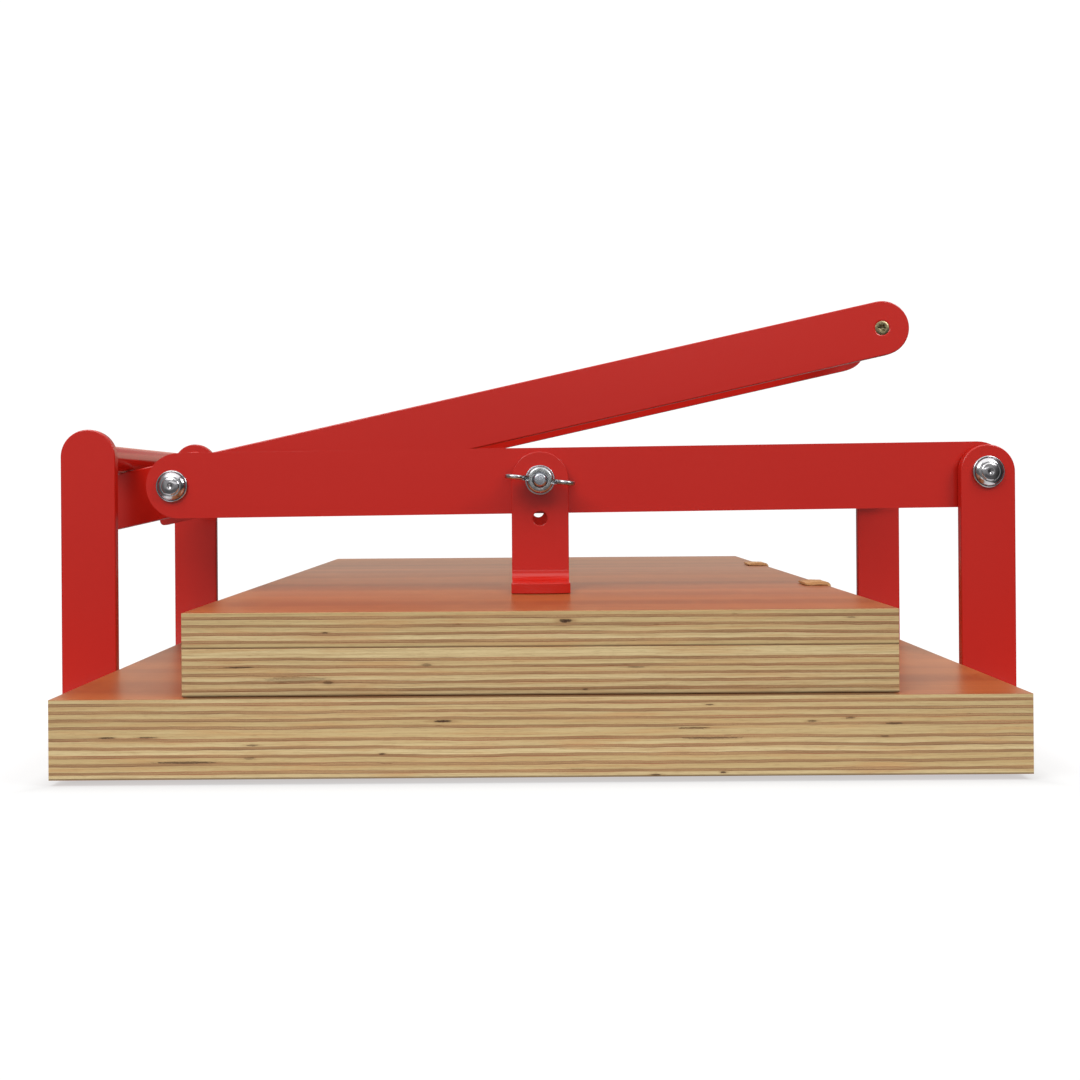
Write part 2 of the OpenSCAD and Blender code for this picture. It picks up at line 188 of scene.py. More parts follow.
def softbox(graph, ray, azimuth, elevation, half_width, half_height, strength):
    """Brightness of a rectangular softbox seen along ray. Azimuth 0 is at the front of the press
    and 90 at its right; the half sizes are angles in degrees."""
    turn, tilt = math.radians(azimuth), math.radians(elevation)
    towards = Vector((math.sin(turn) * math.cos(tilt), -math.cos(turn) * math.cos(tilt), math.sin(tilt)))
    across = Vector((math.cos(turn), math.sin(turn), 0))
    up = towards.cross(across) * -1
    ahead = graph.vector("DOT_PRODUCT", ray, towards)
    edges = []
    for axis, half in ((across, half_width), (up, half_height)):
        slope = graph.math("DIVIDE", graph.vector("DOT_PRODUCT", ray, axis),
                           graph.math("MAXIMUM", ahead, 0.001))
        limit = math.tan(math.radians(half))
        edges.append(graph.ramp(graph.math("ABSOLUTE", slope), limit * 0.86, limit, 1, 0))
    front_only = graph.math("GREATER_THAN", ahead, 0.05)
    shape = graph.math("MULTIPLY", graph.math("MULTIPLY", edges[0], edges[1]), front_only)
    return graph.math("MULTIPLY", shape, strength)


def add_lamp(name, azimuth, elevation, distance, size, power):
    """A square area lamp that looks at the middle of the press. Azimuth 0 is at its front."""
    turn, tilt = math.radians(azimuth), math.radians(elevation)
    away = Vector((math.sin(turn) * math.cos(tilt), -math.cos(turn) * math.cos(tilt), math.sin(tilt)))
    lamp = bpy.data.objects.new(name, bpy.data.lights.new(name, "AREA"))
    bpy.context.scene.collection.objects.link(lamp)
    lamp.data.size = size
    lamp.data.energy = power
    lamp.location = Vector((0, -0.1, 0.12)) + away * distance
    lamp.rotation_euler = away.to_track_quat("Z", "Y").to_euler()


def add_studio():
    """Two near lamps in front of the press, and a dim room with softboxes, each given as azimuth,
    elevation, half width, half height and strength. The low one behind the press is warm, and the
    camera itself sees a plain white backdrop."""
    add_lamp("key", -38, 42, 1.0, 0.5, 4.7)
    add_lamp("fill", 56, 36, 1.1, 0.4, 4.6)
    world = bpy.data.worlds.new("studio")
    bpy.context.scene.world = world
    world.use_nodes = True
    graph = Graph("studio", world.node_tree)
    ray = graph.tree.nodes.new("ShaderNodeTexCoord").outputs["Generated"]
    right, _, height = graph.split(ray)[:3]
    light = graph.math("MULTIPLY", graph.ramp(height, -0.1, 0.9, 0.14, 0.46),
                       graph.ramp(right, 0.35, 0.9, 1, 0.25))
    overhead = (-18, 72, 38, 30, 1.25)
    high_behind = (180, 40, 40, 16, 0.6)
    low_behind = (180, 9, 60, 8, 0.62)
    beside_camera = (-8, 8, 34, 16, 0.22)
    front_strip = (-4, 13, 16, 1.6, 3.4)
    for box in (overhead, high_behind, beside_camera, front_strip):
        light = graph.math("ADD", light, softbox(graph, ray, *box))
    white = graph.add("Background", {"Color": (1, 1, 1, 1), "Strength": light})
    warm = graph.add("Background", {"Color": (1.0, 0.78, 0.58, 1),
                                    "Strength": softbox(graph, ray, *low_behind)})
    room = graph.add("AddShader", {0: white.outputs[0], 1: warm.outputs[0]})
    backdrop = graph.add("Background", {"Color": (1, 1, 1, 1), "Strength": 1.05})
    seen = graph.tree.nodes.new("ShaderNodeLightPath").outputs["Is Camera Ray"]
    shown = graph.add("MixShader", {0: seen, 1: room.outputs[0], 2: backdrop.outputs[0]})
    graph.feed(graph.tree.nodes["World Output"].inputs["Surface"], shown.outputs[0])
    bpy.context.scene.view_settings.view_transform = "Standard"


# ---- materials ----

def red_powder_coat():
    """Glossy powder coat: a very fine orange peel and a faint cloudiness in the colour."""
    graph = Graph("red_powder_coat")
    place = graph.place()
    cloud = graph.noise(place, (70, 70, 70), 1)
    colour = graph.mix(cloud, srgb(186, 28, 18), srgb(188, 31, 20))
    peel = graph.noise(place, (1.6, 1.6, 1.6), 1)
    graph.set(Base_Color=colour, Roughness=0.19, Normal=graph.bump(graph.math("MULTIPLY", peel, 0.0022)))
    return graph.material


def plated_metal(name, tone, dull_tone, low_rough, high_rough, grain):
    """Plated or cast metal with a clouded tone, uneven shine and a fine surface grain."""
    graph = Graph(name)
    place = graph.place()
    cloud = graph.ramp(graph.noise(place, (4, 4, 4), 4, 0.6), 0.35, 0.65)
    fine = graph.noise(place, (0.35, 0.35, 0.35), 3)
    shine = graph.noise(place, (2.2, 2.2, 2.2), 3)
    graph.set(Base_Color=graph.mix(cloud, tone, dull_tone), Metallic=1.0,
              Roughness=graph.ramp(shine, 0.3, 0.7, low_rough, high_rough),
              Normal=graph.bump(graph.math("MULTIPLY", fine, grain)))
    return graph.material


def tan_leather():
    """Vegetable-tanned leather: fine grain, pores and a clouded tan, with paler cut edges."""
    graph = Graph("tan_leather")
    place = graph.place()
    cloud = graph.ramp(graph.noise(place, (5, 5, 5), 4, 0.6), 0.3, 0.7)
    hide = graph.mix(cloud, srgb(206, 152, 94), srgb(228, 180, 122))
    cells = graph.add("TexVoronoi", {"Vector": graph.vector("DIVIDE", place, (0.7, 0.7, 0.7)),
                                     "Scale": 1.0}, feature="DISTANCE_TO_EDGE").outputs[0]
    creases = graph.ramp(cells, 0.0, 0.12)
    fibres = graph.noise(place, (3.0, 3.0, 0.25), 4, 0.7)
    cut = graph.ramp(graph.math("ABSOLUTE", graph.split(graph.normal())[1]), 0.6, 0.85)
    cut_tone = graph.mix(fibres, srgb(176, 122, 72), srgb(224, 178, 122))
    skin = graph.mix(creases, srgb(182, 128, 76), hide)
    relief = graph.between(cut, graph.math("MULTIPLY", creases, 0.05),
                           graph.math("MULTIPLY", fibres, 0.2))
    graph.set(Base_Color=graph.mix(cut, skin, cut_tone), Roughness=graph.ramp(cloud, 0, 1, 0.5, 0.66),
              Normal=graph.bump(relief))
    return graph.material


def black_rubber():
    """Matt moulded rubber with a little dust on it."""
    graph = Graph("black_rubber")
    place = graph.place()
    dust = graph.ramp(graph.noise(place, (3, 3, 3), 4, 0.65), 0.5, 0.8)
    graph.set(Base_Color=graph.mix(dust, srgb(34, 34, 35), srgb(66, 64, 61)),
              Roughness=graph.ramp(dust, 0, 1, 0.62, 0.85),
              Normal=graph.bump(graph.math("MULTIPLY", graph.noise(place, (0.4, 0.4, 0.4), 2), 0.03)))
    return graph.material


def film_face(graph, place):
    """Colour and height of the brown resin film on the plywood's faces. The veneer shows through
    in bands and streaks along X, and a pressed wire mesh crosses it."""
    x, y = graph.split(place)[:2]
    bands = graph.noise(place, (700, 38, 40), 3, 0.6)
    streaks = graph.noise(place, (150, 5, 40), 4, 0.6)
    blots = graph.noise(place, (16, 30, 40), 4, 0.65)
    tone = graph.mix(graph.ramp(bands, 0.32, 0.68), srgb(146, 76, 38), srgb(174, 99, 50))
    tone = graph.mix(graph.ramp(streaks, 0.35, 0.75, 0, 0.35), tone, srgb(136, 74, 42))
    tone = graph.mix(graph.ramp(blots, 0.45, 0.75, 0, 0.25), tone, srgb(190, 117, 64))
    mesh_pitch = 2.4
    wires = []
    for slant in (1, -1):
        run = graph.math("ADD", x, graph.math("MULTIPLY", y, slant))
        wires.append(graph.math("SINE", graph.math("MULTIPLY", run, ROUND / (mesh_pitch * math.sqrt(2)))))
    weave = graph.math("MAXIMUM", wires[0], wires[1])
    worn = graph.ramp(blots, 0.35, 0.6)
    relief = graph.math("MULTIPLY", graph.math("MULTIPLY", weave, worn), 0.004)
    relief = graph.math("MULTIPLY_ADD", streaks, 0.04, relief)
    relief = graph.math("MULTIPLY_ADD", blots, 0.02, relief)
    tone = graph.mix(graph.ramp(weave, 0.2, 1.0, 0, 0.10), tone, srgb(110, 56, 36))
    return tone, relief


def ply_numbers(graph, height, low, sheets):
    """Counts the plies up from the bottom: even numbers are pale on the front edge, and odd ones
    show end grain. Between two sheets one number is passed over, so that two pale plies meet."""
    count, bottom, number = 0, low, None
    for top, plies in sheets:
        here = graph.math("MULTIPLY_ADD", graph.math("SUBTRACT", height, bottom),
                          plies / (top - bottom), float(count))
        above = graph.math("GREATER_THAN", height, bottom)
        number = here if number is None else graph.between(above, number, here)
        count, bottom = count + plies + 1, top
    return number


def edge_marks(graph, wood, edge, front, marks):
    """Dark gaps and knots in the front edge at chosen places, each with a brown halo. Returns the
    colour and how deep each point is pitted."""
    x, _, z = graph.split(edge)[:3]
    ragged = graph.math("MULTIPLY_ADD", graph.noise(edge, (1.6, 50, 0.45), 4, 0.75), 3.2, -1.6)
    pit = 0.0
    for mark_x, mark_z, half_length, half_height, strength in marks:
        run = graph.math("DIVIDE", graph.math("SUBTRACT", x, mark_x), half_length)
        rise = graph.math("DIVIDE", graph.math("SUBTRACT", z, mark_z), half_height)
        reach = graph.math("MULTIPLY_ADD", run, run, graph.math("MULTIPLY", rise, rise))
        spot = graph.ramp(graph.math("ADD", reach, ragged), 0.25, 1.1, strength, 0)
        spot = graph.math("MULTIPLY", spot, front)
        wide = graph.math("MULTIPLY_ADD", reach, 0.16, graph.math("MULTIPLY", ragged, 0.3))
        halo = graph.math("MULTIPLY", graph.ramp(wide, 0.0, 0.9, 0.5 * strength, 0), front)
        wood = graph.mix(halo, wood, srgb(146, 104, 66))
        wood = graph.mix(spot, wood, srgb(66, 42, 30))
        pit = graph.math("MAXIMUM", pit, spot)
    return wood, pit


def plywood(name, low, high, sheets, marks, seed, shaded_joint_strip=None):
    """Film-faced plywood between the heights low and high. sheets are the glued sheets from the
    bottom up, each (top, plies) with an odd number of plies. marks are dark gaps and knots in the
    front edge: (x, z, half length, half height, strength). The last argument is a strip of film
    along the front that is painted darker, as painted shade where the next board stands on it:
    (half its length, the y where it ends)."""
    graph = Graph("plywood_" + name)
    place = graph.place()
    x, y, z = graph.split(place)[:3]
    across_x = graph.math("GREATER_THAN", graph.math("ABSOLUTE", graph.split(graph.normal())[0]), 0.6)
    along = graph.between(across_x, x, y)
    # each board, and each pair of its sides, takes its grain from another part of the noise
    grain_place = graph.math("MULTIPLY_ADD", across_x, 700.0, seed * 90.0)
    edge = graph.join(along, grain_place, z)

    # the plies run a little wavy, except near the faces
    long_wave = graph.math("SUBTRACT", graph.noise(edge, (85, 50, 16), 2), 0.5)
    short_wave = graph.math("SUBTRACT", graph.noise(edge, (16, 50, 7), 2), 0.5)
    wave = graph.math("MULTIPLY_ADD", short_wave, 0.7, graph.math("MULTIPLY", long_wave, 2.2))
    margin = graph.math("MINIMUM", graph.math("SUBTRACT", z, low), graph.math("SUBTRACT", high, z))
    height = graph.math("MULTIPLY_ADD", wave, graph.ramp(margin, 0.5, 6.0), z)

    # each pair of plies is a pale one and a dark one, with thin glue lines at their edges
    pair = graph.math("MULTIPLY", ply_numbers(graph, height, low, sheets), 0.5)
    pair_number = graph.math("FLOOR", pair)
    part = graph.math("SUBTRACT", pair, pair_number)
    pale_share = 0.64
    dark = graph.math("MULTIPLY", graph.ramp(part, pale_share - 0.025, pale_share + 0.025),
                      graph.ramp(part, 0.96, 1.0, 1, 0))
    end_grain = graph.between(across_x, dark, graph.math("SUBTRACT", 1.0, dark))
    glue = graph.math("MAXIMUM", graph.ramp(graph.gap(part, pale_share), 0.015, 0.05, 1, 0),
                      graph.ramp(graph.gap(part, 0.975), 0.005, 0.04, 1, 0))

    # colour of each ply, with streaks along the grain and pores across it
    ply = graph.math("MULTIPLY_ADD", pair_number, 2.0, graph.math("ADD", dark, seed * 37.0))
    lot = graph.add("TexWhiteNoise", {"W": graph.math("ROUND", ply)}, noise_dimensions="1D").outputs[0]
    streak = graph.noise(edge, (38, 50, 0.55), 4, 0.65)
    fuzz = graph.noise(edge, (5, 50, 0.35), 3, 0.7)
    long_tone = graph.noise(edge, (48, 50, 2.2), 3)
    pores = graph.noise(edge, (0.8, 50, 0.5), 3, 0.7)
    pale = graph.mix(graph.ramp(lot, 0.1, 0.9), srgb(192, 168, 120), srgb(208, 188, 142))
    pale = graph.mix(graph.ramp(streak, 0.40, 0.72, 0, 0.65), pale, srgb(168, 134, 90))
    pale = graph.mix(graph.ramp(long_tone, 0.45, 0.75, 0, 0.7), pale, srgb(190, 148, 100))
    pale = graph.mix(graph.ramp(part, 0.15, 0.60, 0, 0.22), pale, srgb(166, 130, 88))
    brown = graph.mix(graph.ramp(long_tone, 0.3, 0.7), srgb(146, 112, 78), srgb(172, 136, 96))
    brown = graph.mix(graph.ramp(pores, 0.45, 0.8, 0, 0.5), brown, srgb(118, 84, 58))
    wood = graph.mix(end_grain, pale, brown)
    wood = graph.mix(graph.ramp(fuzz, 0.48, 0.75, 0, 0.35), wood, srgb(140, 104, 68))
    line_strength = graph.ramp(graph.noise(edge, (50, 50, 2.5), 3), 0.36, 0.60, 0.15, 0.95)
    lines = graph.math("MULTIPLY", glue, line_strength)
    rust = graph.ramp(graph.noise(edge, (90, 50, 5), 1), 0.4, 0.6)
    wood = graph.mix(lines, wood, graph.mix(rust, srgb(124, 84, 62), srgb(156, 84, 58)))

    # scattered stains, marks at chosen places, and painted shade along the lower arris, darker towards
    # the bottom
    stain = graph.ramp(graph.noise(edge, (11, 50, 1.1), 3, 0.6), 0.64, 0.76)
    stain = graph.math("MULTIPLY", stain, graph.between(dark, 0.25, 0.8))
    wood = graph.mix(stain, wood, srgb(122, 84, 50))
    front = graph.math("MULTIPLY", graph.math("LESS_THAN", y, 0), graph.math("SUBTRACT", 1.0, across_x))
    wood, pit = edge_marks(graph, wood, edge, front, marks)
    pit = graph.math("MAXIMUM", pit, graph.math("MULTIPLY", stain, 0.3))
    # painted shade: the lowest millimetre or so of each board's edge is darkened
    painted_bottom_shade = graph.ramp(graph.math("SUBTRACT", z, low), 0.4, 1.3, 0.75, 0)
    wood = graph.mix(painted_bottom_shade, wood, srgb(84, 62, 44))

    # the film: a thin skin on both faces
    film_tone, film_relief = film_face(graph, place)
    # painted shade: the film is darkened in a strip along the front, where the next board stands on it
    if shaded_joint_strip:
        half_length, back = shaded_joint_strip
        within = graph.ramp(graph.math("ABSOLUTE", x), half_length - 4, half_length, 1, 0)
        joint_shade = graph.math("MULTIPLY", within, graph.ramp(y, back - 1.5, back, 0.85, 0))
        film_tone = graph.mix(joint_shade, film_tone, srgb(112, 88, 62))
    skin, film_roughness = 0.1, 0.31
    film = graph.math("LESS_THAN", margin, skin)
    relief = graph.math("MULTIPLY", streak, 0.10)
    relief = graph.math("MULTIPLY_ADD", pores, graph.math("MULTIPLY", end_grain, 0.10), relief)
    relief = graph.math("MULTIPLY_ADD", pit, -0.5, relief)
    relief = graph.math("MULTIPLY_ADD", lines, -0.06, relief)
    wood_roughness = graph.ramp(streak, 0.3, 0.7, 0.55, 0.72)
    graph.set(Base_Color=graph.mix(film, wood, film_tone),
              Roughness=graph.between(film, wood_roughness, film_roughness),
              Normal=graph.bump(graph.between(film, relief, film_relief)),
              Specular_Tint=(1.0, 0.80, 0.58, 1))
    return graph.material


# ---- mesh helpers ----

def make_piece(name, bm, material, body, replaced=(), crease=35):
    """Turns a mesh in metres into a finished piece that rides on a body."""
    bmesh.ops.recalc_face_normals(bm, faces=bm.faces)
    mesh = bpy.data.meshes.new(name)
    bm.to_mesh(mesh)
    bm.free()
    mesh.materials.append(material)
    mesh.shade_smooth()
    mesh.set_sharp_from_angle(angle=math.radians(crease))
    piece = bpy.data.objects.new(name, mesh)
    bpy.context.scene.collection.objects.link(piece)
    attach(piece, body)
    if replaced:
        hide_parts(*replaced)


def fillet(points, steps=5):
    """A polyline in two dimensions whose points (x, y, radius) are rounded to that radius."""
    path = []
    for i, point in enumerate(points):
        corner = Vector(point[:2])
        radius = point[2] if len(point) > 2 else 0
        if not radius or i in (0, len(points) - 1):
            path.append(corner)
            continue
        before = (Vector(points[i - 1][:2]) - corner).normalized()
        after = (Vector(points[i + 1][:2]) - corner).normalized()
        half = before.angle(after) / 2
        cut = radius / math.tan(half)
        centre = corner + (before + after).normalized() * (radius / math.sin(half))
        start, end = corner + before * cut - centre, corner + after * cut - centre
        for k in range(steps + 1):
            path.append(centre + start.slerp(end, k / steps) * radius)
    return path


def ring_stack(bm, rings, steps=64, matrix=Matrix.Identity(4)):
    """A round body about +Z, closed where it begins and ends in a point. Each ring is (radius,
    height), and a radius may be a function of the angle. A ring of radius 0 is a single point."""
    made = []
    for radius, height in rings:
        if not callable(radius) and radius < 1e-6:
            made.append([bm.verts.new(matrix @ Vector((0, 0, height * MM)))])
            continue
        ring = []
        for i in range(steps):
            angle = ROUND * i / steps
            reach = (radius(angle) if callable(radius) else radius) * MM
            ring.append(bm.verts.new(matrix @ Vector((reach * math.cos(angle), reach * math.sin(angle),
                                                      height * MM))))
        made.append(ring)
    for lower, upper in zip(made, made[1:]):
        for i in range(steps):
            j = (i + 1) % steps
            if len(lower) == 1:
                bm.faces.new((lower[0], upper[i], upper[j]))
            elif len(upper) == 1:
                bm.faces.new((lower[j], lower[i], upper[0]))
            else:
                bm.faces.new((lower[j], lower[i], upper[i], upper[j]))
    return made


def close_rings(bm, made):
    """Joins the last ring of a tube to its first, so that a bored body is closed."""
    first, last = made[0], made[-1]
    for i in range(len(first)):
        j = (i + 1) % len(first)
        bm.faces.new((last[j], last[i], first[i], first[j]))


def out_of_face(side, x, y, z):
    """Matrix that stands a piece made along +Z out of a face towards the front (-1) or back (1)."""
    return Matrix.Translation((x, y, z)) @ Matrix.Rotation(-side * math.pi / 2, 4, "X")


def resample(path, step):
    """The same line with points about step apart."""
    dense = []
    for a, b in zip(path, path[1:]):
        parts = max(1, round((b - a).length / step))
        dense += [a.lerp(b, k / parts) for k in range(parts)]
    return dense + [path[-1]]


def plain_shading():
    """A modifier's node group that drops the normals and the flat shading a mesh came with."""
    group = bpy.data.node_groups.new("plain_shading", "GeometryNodeTree")
    for way in ("INPUT", "OUTPUT"):
        group.interface.new_socket("Geometry", in_out=way, socket_type="NodeSocketGeometry")
    shape = group.nodes.new("NodeGroupInput").outputs[0]
    for attribute in ("custom_normal", "sharp_face"):
        remove = group.nodes.new("GeometryNodeRemoveAttribute")
        remove.inputs["Name"].default_value = attribute
        group.links.new(shape, remove.inputs["Geometry"])
        shape = remove.outputs["Geometry"]
    group.links.new(shape, group.nodes.new("NodeGroupOutput").inputs[0])
    return group


def soften_edges(names, shading, width, segments=3):
    """Rounds the edges of CAD nodes by modifiers, which leave their meshes as they are."""
    for name in names:
        modifiers = nodes[name].modifiers
        modifiers.new("plain_shading", "NODES").node_group = shading
        modifiers.new("weld", "WELD").merge_threshold = 0.00001
        flat = modifiers.new("flat", "DECIMATE")
        flat.decimate_type = "DISSOLVE"
        flat.angle_limit = math.radians(0.5)
        bevel = modifiers.new("bevel", "BEVEL")
        bevel.width = width * MM
        bevel.segments = segments
        bevel.limit_method = "ANGLE"
        bevel.angle_limit = math.radians(40)
        bevel.harden_normals = True


def paint(node, material):
    """Puts a material on a CAD node."""
    for slot in nodes[node].material_slots:
        slot.material = material


def middle(node):
    """The middle of a CAD node's box, in metres."""
    low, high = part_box(node)
    return (low + high) / 2


# ---- pieces ----

def dome_cap_rings():
    """A push-on cap: a rolled rim, a groove, a spun dome with a ring in it and a dimple."""
    rim_r, dome_r, dome_h = 9.7, 8.6, 4.2
    rim = fillet([(5.05, 3.2), (5.05, 0, 0.2), (rim_r, 0, 0.3), (rim_r, 1.7, 0.75), (8.9, 1.7, 0.4),
                  (8.75, 0.95, 0.12), (dome_r, 0.95)], 4)
    rings = [(p.x, p.y) for p in rim]
    start = 1.0
    for i in range(1, 40):
        radius = dome_r * (1 - i / 40)
        crown = start + dome_h * math.sqrt(max(0.0, 1 - (radius / (dome_r + 0.25)) ** 1.9))
        ring_groove = 0.28 * math.exp(-((radius - 5.5) / 0.32) ** 2)
        dimple = 0.75 * math.exp(-(radius / 1.45) ** 2)
        rings.append((radius, crown - ring_groove - dimple))
    rings.append((0, start + dome_h - 0.75))
    return [(0, 3.2)] + rings


def add_caps(material):
    """A spun cap on each end of the pivot shaft and of the lever pin."""
    for node, body in (("pivot_cap", "frame"), ("lever_pin_cap", "arms")):
        for end, side in ENDS:
            name = f"{node}_{end}"
            low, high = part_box(name)
            wall_y = high.y if side < 0 else low.y
            centre = (low + high) / 2
            bm = bmesh.new()
            ring_stack(bm, dome_cap_rings(), 96, out_of_face(side, centre.x, wall_y, centre.z))
            make_piece("spun_" + name, bm, material, body, [name], crease=50)


def wing_outline(reach):
    """The ear of a wing nut in its own plane: x away from the axis as far as reach, y away from
    the washer."""
    radius = 5.95
    centre = Vector((reach - radius, 10.1))
    points = [(4.6, 1.0), (7.6, 1.0), (11.0, 3.0), (centre.x + 0.6, 4.5)]
    for i in range(17):
        angle = math.radians(-58 + i * 13.5)
        points.append(tuple(centre + radius * Vector((math.cos(angle), math.sin(angle)))))
    return points + [(8.6, 9.2), (6.6, 8.4), (4.6, 8.4)]


def add_wing_nut(end, side, material):
    """A cast wing nut: a hub that draws in a little to a rounded shoulder, and two rounded ears.
    It has come to rest a few degrees off level."""
    node = f"wing_nut_{end}"
    low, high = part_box(node)
    seat_y = high.y if side < 0 else low.y
    centre = (low + high) / 2
    off_level = Matrix.Rotation(side * math.radians(7.5), 4, "Z")
    place = out_of_face(side, centre.x, seat_y, centre.z) @ off_level
    outline = wing_outline((high.x - low.x) / 2 / MM)
    bm = bmesh.new()
    for turn in (0, math.pi):
        layers = []
        for level in (-1, 1):
            layer = []
            for px, py in outline:
                half = 1.6 - 0.018 * px
                bend = 0.35 * (px / 20) ** 4
                spot = Matrix.Rotation(turn, 3, "Z") @ Vector((px, level * half + bend, py))
                layer.append(bm.verts.new(spot * MM))
            layers.append(layer)
        bm.faces.new(layers[0])
        bm.faces.new(layers[1][::-1])
        for i in range(len(outline)):
            j = (i + 1) % len(outline)
            bm.faces.new((layers[0][j], layers[0][i], layers[1][i], layers[1][j]))
    rims = [edge for edge in bm.edges if any(len(face.verts) > 4 for face in edge.link_faces)]
    bmesh.ops.bevel(bm, geom=rims, offset=1.0 * MM, segments=4, profile=0.5, affect="EDGES",
                    clamp_overlap=True)
    bm.transform(place)
    hub = fillet([(4.1, 0.2), (4.5, 0, 0.1), (8.2, 0, 0.5), (7.9, 9.0, 1.7), (4.7, 9.0, 0.3),
                  (4.1, 8.5)], 7)
    close_rings(bm, ring_stack(bm, [(p.x, p.y) for p in hub], 72, place))
    make_piece("cast_" + node, bm, material, "nut_" + end, [node], crease=60)


def thread_radius(outer, pitch, depth, height):
    """The radius of a helical thread at one height, as a function of the angle."""
    def radius(angle):
        phase = (height / pitch - angle / ROUND) % 1
        return outer - depth * (1 - min(1, abs(phase - 0.5) * 2.6))
    return radius


def hex_radius(across_flats, limit):
    """The radius of a hexagon with its corners turned off at limit."""
    def radius(angle):
        turn = (angle + math.pi / 6) % (math.pi / 3) - math.pi / 6
        return min(across_flats / 2 / math.cos(turn), limit)
    return radius


def add_foot_bolt(end, side, material):
    """A hexagon bolt from inside the arm, with a turned head and a rolled thread at its end."""
    node = f"foot_bolt_{end}"
    low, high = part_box(node)
    centre = (low + high) / 2
    flats, head_h, shank_r, thread_pitch = 13.0, 5.3, 4.0, 1.25
    length = (high.y - low.y) / MM - head_h
    rings = [(0, -head_h), (flats / 2 * 0.9, -head_h)]
    for rise, limit in ((0.0, flats / 2 * 0.96), (0.35, flats / 2 * 1.05), (0.8, flats / 2 * 1.16)):
        rings.append((hex_radius(flats, limit), rise - head_h))
    rings += [(hex_radius(flats, flats), -0.35), (hex_radius(flats, flats / 2 * 1.09), -0.15), (5.9, 0)]
    thread_start = length - 15
    rings += [(shank_r, 0), (shank_r, thread_start - 0.5)]
    level, step = thread_start, thread_pitch / 10
    while level < length - 1.0:
        rings.append((thread_radius(shank_r, thread_pitch, 0.62, level), level))
        level += step
    rings += [(3.75, length - 0.85), (3.5, length - 0.25), (3.2, length - 0.04), (2.9, length),
              (0, length)]
    arm_low, arm_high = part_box("arm_" + end)
    inner_y = arm_high.y if side < 0 else arm_low.y
    bm = bmesh.new()
    ring_stack(bm, rings, 72, out_of_face(side, centre.x, inner_y, centre.z))
    make_piece("threaded_" + node, bm, material, "arms", [node])


def lobed(radius, depth):
    """The radius of a six-lobed recess, as a function of the angle."""
    return lambda angle: radius + depth * math.cos(6 * angle)


def add_handle_screw(end, side, material):
    """A countersunk screw with a six-lobed recess, its head just under the lever's face."""
    node = f"handle_screw_{end}"
    low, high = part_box(node)
    centre = (low + high) / 2
    face_y = low.y if side < 0 else high.y
    head_r, head_h, shank_r, length = 4.6, 2.5, 2.5, 24
    rings = [(0, -length), (1.6, -length + 0.2), (shank_r, -length + 1.5), (shank_r, -head_h),
             (head_r, -0.35), (head_r, -0.1), (head_r - 0.15, 0), (2.9, -0.02),
             (lobed(2.15, 0.32), -0.12), (lobed(1.95, 0.32), -0.35), (lobed(1.75, 0.28), -1.9),
             (0.9, -2.1), (0, -2.3)]
    bm = bmesh.new()
    ring_stack(bm, rings, 72, out_of_face(side, centre.x, face_y, centre.z))
    make_piece("lobed_" + node, bm, material, "lever", [node])


def cross_radius(length, half_width):
    """The radius of a cross recess with arms of a length and half width."""
    def radius(angle):
        across, upright = max(abs(math.sin(angle)), 1e-6), max(abs(math.cos(angle)), 1e-6)
        return max(min(length, half_width / across), min(length, half_width / upright))
    return radius


def add_wood_screws(node, spots, head_r, head_h, shank_r, length, material):
    """Countersunk cross-recess screws that point up into the base."""
    bm = bmesh.new()
    arm, half = head_r * 0.55, head_r * 0.13
    rings = [(0, head_r * 0.42), (cross_radius(arm * 0.5, half * 0.8), head_r * 0.36),
             (cross_radius(arm, half), 0.12), (cross_radius(arm * 1.06, half * 1.3), 0),
             (head_r - 0.15, 0.0), (head_r, 0.15), (head_r, 0.4), (shank_r, head_h),
             (shank_r, length - 3), (0, length)]
    for x, y, z in spots:
        ring_stack(bm, rings, 48, Matrix.Translation((x, y, z)))
    make_piece("recessed_" + node, bm, material, "frame", [node])


def add_base_screws(material):
    """The screws under the base: three up through each cross bar, and one in each rubber foot."""
    bar_low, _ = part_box("cross_bar_screws")
    post_y = abs(middle("post_rear_left").y)
    spots = [(i * 200 * MM, side * post_y, bar_low.z) for side in (-1, 1) for i in (-1, 0, 1)]
    add_wood_screws("cross_bar_screws", spots, 4.5, 2.4, 2.2, 24, material)
    foot_low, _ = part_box("rubber_foot_screws")
    foot = middle("rubber_foot_rear_right")
    spots = [(sx * foot.x, sy * foot.y, foot_low.z) for sx in (-1, 1) for sy in (-1, 1)]
    add_wood_screws("rubber_foot_screws", spots, 3.5, 1.6, 1.75, 16, material)


def add_rubber_feet(material):
    """Moulded rubber feet with rounded edges and a ring groove in the sole."""
    profile = fillet([(2.0, 2.2), (3.8, 0.6, 0.15), (3.8, 0, 0.2), (6.6, 0, 0.2), (6.9, 0.5, 0.2),
                      (7.9, 0.5, 0.2), (8.2, 0, 0.2), (11.0, 0, 0.6), (12.0, 3.0, 0.4), (2.0, 3.0)], 3)
    for end, _ in ENDS:
        for hand in ("left", "right"):
            node = f"rubber_foot_{end}_{hand}"
            centre = middle(node)
            bm = bmesh.new()
            close_rings(bm, ring_stack(bm, [(p.x, p.y) for p in profile], 64,
                                       Matrix.Translation((centre.x, centre.y, 0))))
            make_piece("moulded_" + node, bm, material, "frame", [node])


def weld_ripple(run, seed):
    """How far a weld bead swells at a place along its run, in millimetres: overlapping scales."""
    scale = 1.7
    phase = (run / scale + seed * 0.37) % 1
    return 0.34 * math.sqrt(1 - phase) + 0.16 * math.sin(run * 0.9 + seed * 2.1)


